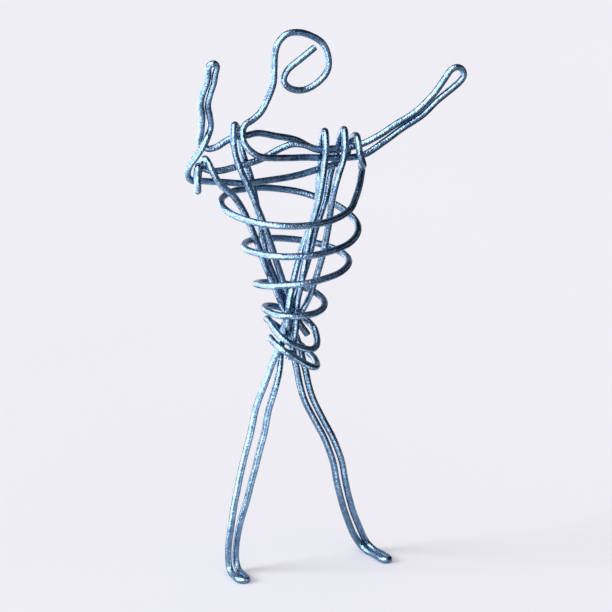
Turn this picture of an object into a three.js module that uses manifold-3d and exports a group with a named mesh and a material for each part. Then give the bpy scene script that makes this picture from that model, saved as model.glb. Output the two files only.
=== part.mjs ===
// A standing figure bent by hand from three lengths of soft galvanised steel wire.
// Millimetres, +Z up. The figure faces -Y, and left and right are the viewer's, so left is -X.
//
// Each wire is one route of hand-chosen points from end to end. The torso holds together because the wires
// hook over, cross and bind each other. Where a limb leaves the torso the wire can be bent by hand, so there
// the route is cut into the torso's stretch, a short stretch that bends, and the limb.
import * as THREE from "three";
import { mergeVertices } from "three/addons/utils/BufferGeometryUtils.js";
import Module from "manifold-3d";

const { clamp, degToRad, lerp, smoothstep } = THREE.MathUtils;

// The wire
const WIRE_D = 1.6;
const CLEARANCE = 0.35; // between wires that lie against each other
const PRESSED = 0.2; // between the strands of a hairpin that were pressed together
const SEAM = 0.3; // between two stretches of one wire
const BEND_LENGTH = 4; // the stretch that takes up a bend
const SOLE_FLAT = 0.16; // depth of the flat worn under each foot
const SIDES = 8;
const TURN_PER_RING = degToRad(15);
const LONGEST_STEP = 7;
const TRACE_STEP = 0.1;
const STEPS_BETWEEN_POINTS = 40;

// Heights, from the floor up
const LEG_LENGTH = 49; // floor to the hip bends
const WAIST_LENGTH = 12; // hip bends to where the strands cross
const CHEST_LENGTH = 40; // crossing to the shoulder wires
const HIP = LEG_LENGTH;
const WAIST = HIP + WAIST_LENGTH;
const SHOULDER = WAIST + CHEST_LENGTH;

// Depths: wires that cross lie whole layers apart, so a thicker wire spreads them
const LAYER = WIRE_D + CLEARANCE;
const MID = -3; // the middle of the chest
const NEAR = MID - LAYER / 2; // the shoulder wires run two deep through the right hooks
const FAR = MID + LAYER / 2;
const FRONT = MID - LAYER;
const REAR = MID + LAYER;
const HOOK_FRONT = MID - 1.5 * LAYER;
const HOOK_REAR = MID + 1.5 * LAYER;
const BACK = MID + 2 * LAYER;
const PAIR = 1.1 * LAYER; // between the two strands of an arm where it bends
const BESIDE = WIRE_D + PRESSED;

// Shoulders and arms: each arm is a hairpin that opens a little at the hand
const LEFT_SHOULDER_X = -26.3;
const RIGHT_SHOULDER_X = 17.5;
const LEFT_ARM_LENGTH = 18.2;
const RIGHT_ARM_LENGTH = 24.8;
const LEFT_HAND_RADIUS = 1;
const RIGHT_HAND_RADIUS = 1.85;

// The torso coil, from the right shoulder down, and its tight turns at the waist
const COIL_TURNS = 5.5;
const COIL_TOP = 4.7; // below the shoulder wires
const CHEST_X = -5.1;
const WAIST_X = -4.4;
const COIL_SWAY = 2.4; // how far its middle turns bulge to the right
const CHEST_HALF_WIDTH = 17.2;
const CHEST_HALF_DEPTH = 11;
const START_TUCK = 1.6; // it starts this much further in
const WAIST_HALF_WIDTH = 5.6;
const WAIST_HALF_DEPTH = 2.65 * LAYER;
const TAPER_TURNS = 4.2; // the coil has narrowed to the waist after these
const FIRST_PITCH = 0.286 * CHEST_LENGTH;
const PITCH_LOSS = 0.017 * CHEST_LENGTH; // the turns lie closer together further down
const CHEST_LEAN = 0.7; // right side lower than left
const TOP_LEAN = 1.2;
const WAIST_LEAN = 3.8;
const FRONT_DIP = 5; // the first turn hangs lower in front
const FOURTH_SAG = 1.5; // the fourth turn hangs lower all round
const FIFTH_DIP = 3.1; // the fifth only in front
const LAST_DIP = 1.45; // and the last half turn a little
const WAIST_SQUARENESS = 0.75; // power of the sine and cosine, 1 for an ellipse
const COIL_POINTS = 16; // for each turn

// The legs: hairpins whose feet are bent forward to lie flat
const LEFT_HIP_X = -9.6;
const LEFT_HIP_SPREAD = 2.8; // between the strands where the left leg bends
const RIGHT_HIP_X = -2.4;
const RIGHT_LEG_SPREAD = 1.08 * LAYER; // sideways, between the strands of the right leg
const SOLE = WIRE_D / 2 - SOLE_FLAT; // height of the wire's middle in a foot
const LEFT_FOOT_X = -18.5;
const LEFT_FOOT_WIDTH = 2.2; // between the middles of its strands
const LEFT_TOE_Y = -7.1;
const RIGHT_TOE_X = 17.3;
const RIGHT_TOE_Y = -8;

const wasm = await Module();
wasm.setup();

const at = (x, y, z) => new THREE.Vector3(x, y, z);

// A point of a route at which the wire is bent by hand
function bend(x, y, z) {
  const point = at(x, y, z);
  point.isBend = true;
  return point;
}

// The head is an open spiral in one plane, from the cut end inside it to the neck
function headRoute() {
  const outline = [
    [1, 27],
    [-2.7, 24.5],
    [-6, 22],
    [-6.8, 19.8],
    [-5.2, 17.8],
    [-2, 17],
    [1.3, 18.2],
    [3.8, 20.6],
    [4.3, 23.2],
    [3, 27.4],
    [0, 29.8],
    [-3, 31],
    [-6, 30.9],
    [-8.2, 29],
    [-9, 26.3],
    [-9.1, 23],
    [-9.3, 19.7],
  ];
  return outline.map(([x, rise]) => at(x, MID, SHOULDER + rise));
}

// From the neck round to the front of the chest and across to the right arm
function collarRoute() {
  return [
    at(-12.4, MID, SHOULDER + 13),
    at(-14.6, MID - 0.3, SHOULDER + 11.5),
    at(-16.6, MID - 0.8, SHOULDER + 10.7),
    at(-17.7, MID - 1.8, SHOULDER + 9.4),
    at(-18, MID - 3.2, SHOULDER + 7.6),
    at(-16.9, MID - 3.7, SHOULDER + 5.7),
    at(-14.6, MID - 3.9, SHOULDER + 3.9),
    at(-11.3, MID - 3.8, SHOULDER + 3),
    at(-7.2, MID - 3.1, SHOULDER + 2.2),
    at(-2.8, MID - 1.6, SHOULDER + 1.3),
    at(0.7, NEAR, SHOULDER + 0.6),
    at(5.1, NEAR, SHOULDER + 0.1),
    at(9, NEAR, SHOULDER - 0.4),
    at(13.2, MID - 0.6, SHOULDER - 0.2),
  ];
}

// Points where a wire turns back beside itself, round the tip of a hairpin. The first strand is on that side.
function turnBack(place, length, radius, side, bow) {
  return [90, 45, 0, -45, -90].map((turn) => {
    const angle = degToRad(turn);
    return place(length - radius + radius * Math.cos(angle), bow + side * radius * Math.sin(angle));
  });
}

// An arm goes out along one strand, round the hand, and back along the other. Each row of its outline is a share
// of its length, how far its middle line bows aside there, and half the distance between the strands.
function armRoute(root, along, across, length, outline, hand) {
  const place = (out, aside) => root.clone().addScaledVector(along, out).addScaledVector(across, aside);
  const strand = (side) => outline.map(([share, bow, half]) => place(share * length, bow + side * half));
  const first = place(0, (hand.side * PAIR) / 2);
  const last = place(0, (-hand.side * PAIR) / 2);
  return [
    bend(first.x, first.y, first.z),
    ...strand(hand.side),
    ...turnBack(place, length, hand.radius, hand.side, hand.bow),
    ...strand(-hand.side).reverse(),
    bend(last.x, last.y, last.z),
  ];
}

// The right arm slants up to the right, lower strand first, and opens to a drop-shaped hand
function rightArmRoute() {
  const outline = [
    [0.18, 0.6, BESIDE / 2],
    [0.43, 1.6, BESIDE / 2],
    [0.62, 1.45, BESIDE / 2],
    [0.73, 1.2, 0.68 * RIGHT_HAND_RADIUS],
    [0.83, 0.95, 0.88 * RIGHT_HAND_RADIUS],
  ];
  const root = at(RIGHT_SHOULDER_X, MID, SHOULDER + 2.8);
  const hand = { radius: RIGHT_HAND_RADIUS, bow: 0.7, side: 1 };
  return armRoute(root, at(0.8, 0, 0.6), at(0.6, 0, -0.8), RIGHT_ARM_LENGTH, outline, hand);
}

// From the right arm across the back of the shoulders, under the left hook, to the left arm
function backRoute() {
  return [
    at(12.7, MID + 0.5, SHOULDER + 1.8),
    at(9, FAR, SHOULDER + 1.4),
    at(5.1, FAR, SHOULDER + 1.2),
    at(1.5, FAR, SHOULDER + 2),
    at(-2.8, MID + 2, SHOULDER + 4.3),
    at(-7.7, MID + 2.3, SHOULDER + 5.9),
    at(-12.7, MID + 1.4, SHOULDER + 7.5),
    at(-16, MID, SHOULDER + 7.9),
    at(-18.8, MID, SHOULDER + 7.8),
    at(-21, MID, SHOULDER + 7),
    at(-23.4, MID, SHOULDER + 5.9),
    at(-25.5, MID + 0.3, SHOULDER + 5.7),
    at(-27, MID + 1, SHOULDER + 7),
  ];
}

// The left arm goes up and leans forward with a slight wave, outer strand first
function leftArmRoute() {
  const outline = [
    [0.19, -0.4, BESIDE / 2],
    [0.37, -1.2, BESIDE / 2],
    [0.54, -1.1, BESIDE / 2],
    [0.71, -0.5, BESIDE / 2],
    [0.84, -0.4, BESIDE / 2],
  ];
  const root = at(LEFT_SHOULDER_X, MID - 1, SHOULDER + 11);
  const hand = { radius: LEFT_HAND_RADIUS, bow: -0.4, side: -1 };
  return armRoute(root, at(0, -0.31, 0.95), at(1, 0, 0), LEFT_ARM_LENGTH, outline, hand);
}

// From the left arm round the outside of the shoulder, across the chest, and once round the right arm
function chestRoute() {
  return [
    at(-27, MID - 2.4, SHOULDER + 8.2),
    at(-29, MID - 2.2, SHOULDER + 5.4),
    at(-30.65, MID - 1.2, SHOULDER + 2.2),
    at(-30.55, MID - 0.4, SHOULDER - 0.2),
    at(-29.2, MID, SHOULDER - 1.5),
    at(-27, MID, SHOULDER - 1.8),
    at(-22, MID, SHOULDER - 2.7),
    at(-17.5, MID, SHOULDER - 3.6),
    at(-13.7, MID, SHOULDER - 3.8),
    at(-6, MID + 0.5, SHOULDER - 3.8),
    at(-2.3, FAR, SHOULDER - 3.7),
    at(2.5, FAR, SHOULDER - 2.9),
    at(7, FAR, SHOULDER - 2.2),
    at(9.5, MID + 1.8, SHOULDER - 1),
    at(10.6, HOOK_REAR, SHOULDER + 1.2),
    at(11.2, MID + 1.6, SHOULDER + 3.7),
    at(11, MID - 0.6, SHOULDER + 4.5),
    at(10.6, MID - 2.4, SHOULDER + 3.6),
    at(10.9, HOOK_FRONT, SHOULDER + 1),
    at(11.9, MID - 2.5, SHOULDER - 1.7),
    at(12.7, MID - 0.6, SHOULDER - 3),
    at(13, MID + 1.4, SHOULDER - 3.3),
    at(13.6, MID + 2.2, SHOULDER - 4.9),
  ];
}

// The coil runs down the front from right to left and round behind from left to right, narrowing from the
// chest to the waist. Its first turn dips in front, and the turns that bind the waist lean over to the right.
// There it is squarer, to go round the bundle of strands.
function coilRoute() {
  const points = [];
  const count = COIL_TURNS * COIL_POINTS;
  const squared = (value, power) => Math.sign(value) * Math.abs(value) ** power;
  for (let i = 1; i <= count; i += 1) {
    const turns = i / COIL_POINTS;
    const angle = 2 * Math.PI * turns;
    const narrow = smoothstep(turns, 0, TAPER_TURNS);
    const bulge = smoothstep(turns, 0.75, 1.5) - smoothstep(turns, 1.9, 3.1);
    const tuck = START_TUCK * (1 - smoothstep(turns, 0, 0.3));
    const halfWidth = lerp(CHEST_HALF_WIDTH, WAIST_HALF_WIDTH, narrow) - tuck;
    const halfDepth = lerp(CHEST_HALF_DEPTH, WAIST_HALF_DEPTH, narrow);
    const middleX = lerp(CHEST_X, WAIST_X, narrow) + COIL_SWAY * bulge;
    const middleY = lerp(MID, MID + LAYER / 2, narrow);
    const squareness = smoothstep(turns, 2.5, TAPER_TURNS);
    const power = lerp(1, WAIST_SQUARENESS, squareness);
    const topLean = TOP_LEAN * Math.max(0, 1 - turns / 1.5);
    const lean = CHEST_LEAN + topLean + WAIST_LEAN * smoothstep(turns, 3, 5);
    const dip = FRONT_DIP * Math.max(0, 1 - turns / 2);
    const hang = lerp(FIFTH_DIP, LAST_DIP, smoothstep(turns, 4.5, 5)) * smoothstep(turns, 3.5, 4);
    const sag = FOURTH_SAG * (smoothstep(turns, 2, 3) - smoothstep(turns, 3.1, 3.8));
    const drop = COIL_TOP + FIRST_PITCH * turns - PITCH_LOSS * turns * turns + sag;
    const across = squared(Math.cos(angle), power);
    const forward = squared(Math.sin(angle), power);
    points.push(
      at(
        middleX + halfWidth * across,
        middleY - halfDepth * forward,
        SHOULDER - drop - lean * across - dip * forward - hang * Math.max(0, forward),
      ),
    );
  }
  return points;
}

// Up the left side in front, over the shoulder wires, and down behind to the right leg
function leftHookRoute() {
  return [
    at(-0.9, MID, WAIST - 2.9),
    at(-2, MID, WAIST - 1.2),
    at(-3.1, MID, WAIST + 0.6),
    at(-4.7, MID, WAIST + 4.5),
    at(-6.4, MID, WAIST + 9),
    at(-8.3, MID, WAIST + 15),
    at(-12, FRONT, WAIST + 25),
    at(-16.3, FRONT, SHOULDER - 4),
    at(-18.6, FRONT, SHOULDER + 1.3),
    at(-19.7, FRONT, SHOULDER + 5),
    at(-20, FRONT, SHOULDER + 8.2),
    at(-18.9, MID, SHOULDER + 10.8),
    at(-17.2, REAR, SHOULDER + 8.3),
    at(-16.6, REAR, SHOULDER + 4.5),
    at(-15.6, REAR, SHOULDER + 1),
    at(-14, REAR, SHOULDER - 4),
    at(-11.8, REAR, WAIST + 24),
    at(-10.2, REAR, WAIST + 16.5),
    at(-8.2, REAR, WAIST + 11),
    at(-6, REAR, WAIST + 5),
    at(-4.3, REAR, WAIST),
    at(-2.6, MID + 1.2, WAIST - 5.5),
  ];
}

// Down the outer strand, round the toe, and up the inner strand
function rightLegRoute() {
  const middle = [
    at(-1.8, MID, HIP - 3),
    at(-0.1, MID + 0.5, HIP - 8),
    at(2.7, MID + 1, HIP - 13.5),
    at(5.2, MID + 1.1, HIP - 18.7),
    at(7.1, MID + 1.5, HIP - 23.8),
    at(8.4, MID + 2, HIP - 29.5),
    at(9.6, MID + 2.5, HIP - 34.3),
    at(11.2, MID + 3, 9.9),
    at(13.1, MID + 3.5, 5.2),
  ];
  const across = at(0.5 * RIGHT_LEG_SPREAD, 0, 0);
  const outer = middle.map((point) => point.clone().add(across));
  const inner = middle.map((point) => point.clone().sub(across)).reverse();
  const heelAndFoot = [
    at(14.5, 0.9, 2.7),
    at(15.3, 0.5, SOLE + 0.8),
    at(16.1, -1.2, SOLE),
    at(16.8, -4, SOLE),
  ];
  const spread = at(BESIDE / 2, 0, 0);
  const toe = (out, aside) => at(RIGHT_TOE_X + aside, -out, SOLE);
  return [
    bend(RIGHT_HIP_X + 0.5 * RIGHT_LEG_SPREAD, MID, HIP),
    ...outer,
    ...heelAndFoot.map((point) => point.clone().add(spread)),
    ...turnBack(toe, -RIGHT_TOE_Y, BESIDE / 2, 1, 0),
    ...heelAndFoot.map((point) => point.clone().sub(spread)).reverse(),
    ...inner,
    bend(RIGHT_HIP_X - 0.5 * RIGHT_LEG_SPREAD, MID, HIP),
  ];
}

// From the right leg up to the left shoulder, once round the shoulder wires there, and across the chest
function leftTieRoute() {
  return [
    at(-4.7, MID, WAIST - 5.5),
    at(-5.7, MID, WAIST + 0.6),
    at(-6.9, MID, WAIST + 4.5),
    at(-8.7, MID, WAIST + 9),
    at(-11.1, MID - 0.4, WAIST + 14.5),
    at(-15.3, MID - 1, WAIST + 25.7),
    at(-19.5, FRONT, SHOULDER - 6.4),
    at(-23, FRONT, SHOULDER - 2.7),
    at(-25, FRONT, SHOULDER + 0.6),
    at(-25.8, FRONT + 0.2, SHOULDER + 2.4),
    at(-26.2, MID, SHOULDER + 3.5),
    at(-26.6, REAR, SHOULDER + 1.7),
    at(-27.1, REAR + 0.1, SHOULDER - 1.4),
    at(-27.5, MID + 1.5, SHOULDER - 3.3),
    at(-28, MID, SHOULDER - 4.1),
    at(-28.5, MID - 1.5, SHOULDER - 3.4),
    at(-28.8, FRONT - 0.1, SHOULDER - 1.6),
    at(-29, FRONT - 0.1, SHOULDER + 0.5),
    at(-28.5, MID - 1.4, SHOULDER + 2.3),
    at(-27.3, MID, SHOULDER + 1.6),
    at(-24.5, MID, SHOULDER + 0.3),
    at(-22, MID, SHOULDER + 0.1),
    at(-18.7, MID, SHOULDER + 0.5),
    at(-15.5, MID, SHOULDER + 1),
    at(-12.5, MID, SHOULDER + 1.6),
    at(-7.5, MID, SHOULDER + 3.6),
    at(-4.8, MID - 0.2, SHOULDER + 4.3),
    at(-2.2, MID - 0.6, SHOULDER + 4),
    at(1, NEAR, SHOULDER + 2.7),
    at(6.3, NEAR, SHOULDER + 2.2),
  ];
}

// Up the right side in front, over the shoulder wires, and down behind to the left leg
function innerHookRoute() {
  return [
    at(-6.4, FRONT, WAIST - 7.6),
    at(-5.2, FRONT, WAIST - 3.5),
    at(-4.6, FRONT, WAIST),
    at(-4.3, FRONT, WAIST + 5.7),
    at(-3.4, FRONT - 0.6, WAIST + 11.6),
    at(-1, FRONT - 0.4, WAIST + 23.8),
    at(1, FRONT - 0.6, SHOULDER - 8.6),
    at(1.9, HOOK_FRONT, SHOULDER - 2.3),
    at(2.5, HOOK_FRONT, SHOULDER + 3.1),
    at(3.4, MID, SHOULDER + 6.5),
    at(3.6, HOOK_REAR, SHOULDER + 2.8),
    at(3.4, HOOK_REAR, SHOULDER - 2),
    at(3.1, HOOK_REAR, SHOULDER - 5.5),
    at(2.2, MID + 1.6, SHOULDER - 11.2),
    at(-0.2, MID + 0.8, WAIST + 23),
    at(-3.6, MID - 0.9, WAIST + 16),
    at(-5.3, MID - 1.8, WAIST + 11),
    at(-6.4, FRONT, WAIST + 5.5),
    at(-6.7, FRONT, WAIST + 1),
    at(-7.1, MID - 1.1, WAIST - 2.5),
    at(-9.1, MID - 0.3, WAIST - 7),
  ];
}

// Down the outer strand, round the toe, and up the inner strand
function leftLegRoute() {
  const outside = LEFT_FOOT_X - LEFT_FOOT_WIDTH / 2;
  const inside = LEFT_FOOT_X + LEFT_FOOT_WIDTH / 2;
  const toe = (out, aside) => at(LEFT_FOOT_X + aside, -out, SOLE);
  return [
    bend(LEFT_HIP_X - LEFT_HIP_SPREAD / 2, MID, HIP),
    at(-13.7, MID + 0.3, HIP - 7.4),
    at(-15, MID + 0.6, HIP - 13.9),
    at(-16.6, MID + 1, HIP - 20.3),
    at(-18.6, MID + 2, HIP - 32),
    at(-19.3, MID + 2.6, 10.8),
    at(-19.7, MID + 3, 6.5),
    at(-19.7, MID + 3, 3),
    at(outside, -0.6, SOLE + 0.6),
    at(outside, -1.9, SOLE),
    at(outside, -4, SOLE),
    ...turnBack(toe, -LEFT_TOE_Y, LEFT_FOOT_WIDTH / 2, -1, 0),
    at(inside, -3.6, SOLE),
    at(inside, -0.9, SOLE),
    at(inside, 0.4, SOLE + 0.6),
    at(-17.5, MID + 4, 3),
    at(-17.4, MID + 4, 5.6),
    at(-17, MID + 3.4, 10.2),
    at(-15.6, MID + 2.6, HIP - 32.6),
    at(-13.2, MID + 1, HIP - 20.8),
    at(-11.6, MID + 0.6, HIP - 14.4),
    at(-10.4, MID + 0.3, HIP - 7.9),
    bend(LEFT_HIP_X + LEFT_HIP_SPREAD / 2, MID, HIP),
  ];
}

// From the left leg up behind the waist, over the shoulder wires, and down in front to an end at the back
function outerHookRoute() {
  return [
    at(-6.9, MID + 1.6, WAIST - 6.5),
    at(-5.6, BACK, WAIST - 3),
    at(-4.4, BACK, WAIST + 1),
    at(-2.5, BACK, WAIST + 5),
    at(-0.3, BACK - 0.1, WAIST + 10.6),
    at(0.8, BACK - 0.3, WAIST + 14.4),
    at(2.6, MID + 3.2, WAIST + 22.3),
    at(4.8, HOOK_REAR, SHOULDER - 11),
    at(5.8, HOOK_REAR, SHOULDER - 6),
    at(7.5, HOOK_REAR, SHOULDER - 0.2),
    at(8.1, HOOK_REAR, SHOULDER + 2.8),
    at(8.2, MID, SHOULDER + 6.3),
    at(7.2, HOOK_FRONT, SHOULDER + 2.8),
    at(6.8, HOOK_FRONT, SHOULDER),
    at(5.6, HOOK_FRONT, SHOULDER - 3.6),
    at(4.5, MID - 2, SHOULDER - 9.4),
    at(4.2, MID - 0.1, WAIST + 22.8),
    at(3.4, MID + 1.2, WAIST + 16),
    at(1.5, MID + 2.3, WAIST + 8.2),
    at(0.2, BACK - 0.2, WAIST + 3.4),
    at(-2.1, BACK, WAIST - 0.2),
    at(-3.2, BACK, WAIST - 2.2),
  ];
}

// Part of a route, whose rings lie closer together where it turns
class Stretch extends THREE.Curve {
  constructor(route, from, to) {
    super();
    this.route = route;
    this.total = route.getLength();
    this.stations = [from];
    let turned = 0;
    let before = route.getTangentAt(from / this.total);
    let since = 0;
    for (let s = from + TRACE_STEP; s < to - TRACE_STEP; s += TRACE_STEP) {
      const tangent = route.getTangentAt(s / this.total);
      turned += before.angleTo(tangent);
      since += TRACE_STEP;
      before = tangent;
      if (turned >= TURN_PER_RING || since >= LONGEST_STEP) {
        this.stations.push(s);
        turned = 0;
        since = 0;
      }
    }
    this.stations.push(to);
  }

  get steps() {
    return this.stations.length - 1;
  }

  place(t) {
    const i = Math.min(Math.floor(t * this.steps + 1e-9), this.steps - 1);
    const s = lerp(this.stations[i], this.stations[i + 1], t * this.steps - i);
    return clamp(s / this.total, 0, 1);
  }

  getPoint(t) {
    return this.route.getPointAt(this.place(t));
  }

  getPointAt(t) {
    return this.getPoint(t);
  }

  getTangentAt(t) {
    return this.route.getTangentAt(this.place(t));
  }
}

function wireSection() {
  const section = new THREE.Shape();
  for (let i = 0; i < SIDES; i += 1) {
    const angle = (2 * Math.PI * (i + 0.5)) / SIDES;
    const corner = [(WIRE_D / 2) * Math.cos(angle), (WIRE_D / 2) * Math.sin(angle)];
    if (i === 0) section.moveTo(...corner);
    else section.lineTo(...corner);
  }
  section.closePath();
  return section;
}

function wireMesh(name, stretch) {
  const geometry = new THREE.ExtrudeGeometry(wireSection(), {
    steps: stretch.steps,
    bevelEnabled: false,
    extrudePath: stretch,
  });
  const material = new THREE.MeshStandardMaterial({ color: 0x8793a3, metalness: 0.9, roughness: 0.42 });
  const mesh = new THREE.Mesh(geometry, material);
  mesh.name = name;
  return mesh;
}

// Cuts one wire at its bends: name, bend, name, bend and so on along the route
function wireGroup(points, names) {
  const route = new THREE.CatmullRomCurve3(points, false, "centripetal");
  route.arcLengthDivisions = STEPS_BETWEEN_POINTS * (points.length - 1);
  const lengths = route.getLengths();
  const bends = points.flatMap((point, i) => (point.isBend ? [lengths[STEPS_BETWEEN_POINTS * i]] : []));
  const total = route.getLength();
  const cuts = [];
  let from = 0;
  for (const middle of bends) {
    cuts.push([from, middle - BEND_LENGTH / 2 - SEAM]);
    cuts.push([middle - BEND_LENGTH / 2, middle + BEND_LENGTH / 2]);
    from = middle + BEND_LENGTH / 2 + SEAM;
  }
  cuts.push([from, total]);
  const group = new THREE.Group();
  names.forEach((name, i) => {
    const stretch = new Stretch(route, ...cuts[i]);
    const mesh = wireMesh(name, stretch);
    mesh.userData.centreLine = stretch.stations.map((s) => route.getPointAt(Math.min(1, s / total)));
    group.add(mesh);
  });
  return group;
}

const headAndArms = wireGroup(
  [
    ...headRoute(),
    bend(-10.7, MID, SHOULDER + 16),
    ...collarRoute(),
    ...rightArmRoute(),
    ...backRoute(),
    ...leftArmRoute(),
    ...chestRoute(),
    ...coilRoute(),
  ],
  [
    "head_loop",
    "neck_bend",
    "collar_run",
    "right_arm_bend_lower",
    "right_arm",
    "right_arm_bend_upper",
    "back_run",
    "left_arm_bend_outer",
    "left_arm",
    "left_arm_bend_inner",
    "binding_wire",
  ],
);
const rightLegWire = wireGroup(
  [...leftHookRoute(), ...rightLegRoute(), ...leftTieRoute()],
  ["left_hook", "right_hip_bend_outer", "right_leg", "right_hip_bend_inner", "left_tie"],
);
const leftLegWire = wireGroup(
  [...innerHookRoute(), ...leftLegRoute(), ...outerHookRoute()],
  ["inner_hook", "left_hip_bend_outer", "left_leg", "left_hip_bend_inner", "outer_hook"],
);

function solidOf(geometry) {
  const bare = geometry.clone();
  bare.deleteAttribute("normal");
  bare.deleteAttribute("uv");
  const merged = mergeVertices(bare, 1e-4);
  return new wasm.Manifold(
    new wasm.Mesh({
      numProp: 3,
      vertProperties: merged.attributes.position.array,
      triVerts: new Uint32Array(merged.index.array),
    }),
  );
}

// Files the underside of a foot flat at floor level
function fileFlat(mesh) {
  const below = new THREE.BoxGeometry(200, 200, 20).translate(0, 0, -10);
  const cut = solidOf(mesh.geometry).subtract(solidOf(below)).getMesh();
  mesh.geometry = new THREE.BufferGeometry()
    .setAttribute("position", new THREE.BufferAttribute(cut.vertProperties, 3))
    .setIndex(new THREE.BufferAttribute(cut.triVerts, 1));
  mesh.geometry.computeVertexNormals();
}
fileFlat(rightLegWire.getObjectByName("right_leg"));
fileFlat(leftLegWire.getObjectByName("left_leg"));

// The binding wire's turns must not touch: the least gap is measured between points of its middle line that
// are more than half a tight turn apart along the wire
function leastGapToItself(line) {
  let least = Infinity;
  for (let i = 0; i < line.length; i += 1) {
    let along = 0;
    for (let j = i + 1; j < line.length; j += 1) {
      along += line[j].distanceTo(line[j - 1]);
      if (along > 4 * WIRE_D) least = Math.min(least, line[i].distanceTo(line[j]));
    }
  }
  return least - WIRE_D;
}
const turns = headAndArms.getObjectByName("binding_wire").userData.centreLine;
console.log("binding wire: least gap to itself", leastGapToItself(turns).toFixed(2), "mm");

// The origin is on the floor, in the middle of the figure's box
const figure = new THREE.Group();
figure.add(headAndArms, rightLegWire, leftLegWire);
const box = new THREE.Box3().setFromObject(figure);
const middle = box.getCenter(new THREE.Vector3());
figure.position.set(-middle.x, -middle.y, -box.min.z);

export default figure;
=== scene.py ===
# %% [markdown]
# # A standing figure bent from soft wire
# The object is a hand-sized figure, 133 mm tall, bent by hand from three lengths of galvanised steel wire
# that is 1.6 mm thick. One wire makes the head, both arms and the coil round the torso. The other two
# hook over the shoulders and run down to the feet. The CAD frame already holds the same wires as
# eight-sided stretches, cut where the figure can be bent. Here they become round, unbroken wires with cut
# ends and a zinc coat.

# %% Load the frame
import math

import bpy
import numpy as np
from mathutils import Matrix, Vector


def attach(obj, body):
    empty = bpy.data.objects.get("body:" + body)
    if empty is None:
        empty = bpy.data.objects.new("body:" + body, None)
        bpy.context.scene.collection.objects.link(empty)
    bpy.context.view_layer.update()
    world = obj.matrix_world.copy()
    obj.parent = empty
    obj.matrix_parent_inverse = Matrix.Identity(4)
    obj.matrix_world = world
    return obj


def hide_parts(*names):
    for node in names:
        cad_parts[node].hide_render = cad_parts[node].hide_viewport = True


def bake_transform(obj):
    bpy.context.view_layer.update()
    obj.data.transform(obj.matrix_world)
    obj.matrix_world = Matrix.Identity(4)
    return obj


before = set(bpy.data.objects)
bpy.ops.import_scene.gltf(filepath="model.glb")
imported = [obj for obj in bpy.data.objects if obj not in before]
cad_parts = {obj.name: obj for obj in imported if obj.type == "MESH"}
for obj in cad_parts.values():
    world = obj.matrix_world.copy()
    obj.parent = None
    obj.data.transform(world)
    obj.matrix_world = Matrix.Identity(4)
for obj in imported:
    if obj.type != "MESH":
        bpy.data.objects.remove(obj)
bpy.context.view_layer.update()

# %% [markdown]
# ## Sizes that the wires share
# All the wires lie in layers, because a wire that crosses another has to go in front of it or behind it.
# So the depths are counted in layers of one wire and a small clearance, and the heights are counted from
# the hips, the waist and the shoulders. They are the same numbers as in the CAD, in millimetres, and one
# function turns them to metres in the frame, whose origin is on the floor under the middle of the figure.

# %% Sizes in millimetres
MM = 0.001
WIRE_D = 1.6
CLEARANCE, PRESSED = 0.35, 0.2
LAYER = WIRE_D + CLEARANCE
LEG_LENGTH, WAIST_LENGTH, CHEST_LENGTH = 49.0, 12.0, 40.0
HIP = LEG_LENGTH
WAIST = HIP + WAIST_LENGTH
SHOULDER = WAIST + CHEST_LENGTH
MID = -3.0
NEAR, FAR = MID - LAYER / 2, MID + LAYER / 2
FRONT, REAR = MID - LAYER, MID + LAYER
HOOK_FRONT, HOOK_REAR = MID - 1.5 * LAYER, MID + 1.5 * LAYER
BACK = MID + 2 * LAYER
PAIR, BESIDE = 1.1 * LAYER, WIRE_D + PRESSED
MIDDLE_OF_BOX = np.array([3.655, -3.144, 0.0])


def in_frame(point):
    """A point of a route, in millimetres, as a point of the frame in metres."""
    return MM * (np.array(point, float) - MIDDLE_OF_BOX)


print("wire", WIRE_D, "mm, layers", LAYER, "mm apart")

# %% [markdown]
# ## The first wire: head and collar
# The maker starts with the head, an open spiral in one plane with the cut end inside it. The wire then
# goes down the neck, turns round to the front and crosses the chest to the right arm. It could be drawn
# as a Bezier curve with handles, but points that the curve has to pass through are easier to read and to
# move by hand.

# %% Points of the head and the collar
head = [(x, MID, SHOULDER + rise) for x, rise in (
    (1, 27), (-2.7, 24.5), (-6, 22), (-6.8, 19.8), (-5.2, 17.8), (-2, 17), (1.3, 18.2), (3.8, 20.6),
    (4.3, 23.2), (3, 27.4), (0, 29.8), (-3, 31), (-6, 30.9), (-8.2, 29), (-9, 26.3), (-9.1, 23),
    (-9.3, 19.7))]
neck = (-10.7, MID, SHOULDER + 16)
collar = [
    (-12.4, MID, SHOULDER + 13), (-14.6, MID - 0.3, SHOULDER + 11.5), (-16.6, MID - 0.8, SHOULDER + 10.7),
    (-17.7, MID - 1.8, SHOULDER + 9.4), (-18, MID - 3.2, SHOULDER + 7.6),
    (-16.9, MID - 3.7, SHOULDER + 5.7), (-14.6, MID - 3.9, SHOULDER + 3.9),
    (-11.3, MID - 3.8, SHOULDER + 3), (-7.2, MID - 3.1, SHOULDER + 2.2), (-2.8, MID - 1.6, SHOULDER + 1.3),
    (0.7, NEAR, SHOULDER + 0.6), (5.1, NEAR, SHOULDER + 0.1), (9, NEAR, SHOULDER - 0.4),
    (13.2, MID - 0.6, SHOULDER - 0.2)]
print("head and collar:", len(head) + 1 + len(collar), "points")

# %% [markdown]
# ## The arms
# Each arm is a hairpin: the wire runs out, turns back at the hand, and comes home beside itself. Its two
# strands could be listed point by point, but they are one shape twice, so both arms come from one recipe:
# a middle line that bows a little, a strand either side of it, and five points round the tip. The left
# hand is a plain hairpin, and the right one opens to a drop. The feet turn back in the same way.

# %% A recipe for hairpins
ROUND_THE_TIP = np.radians([90, 45, 0, -45, -90])


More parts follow.
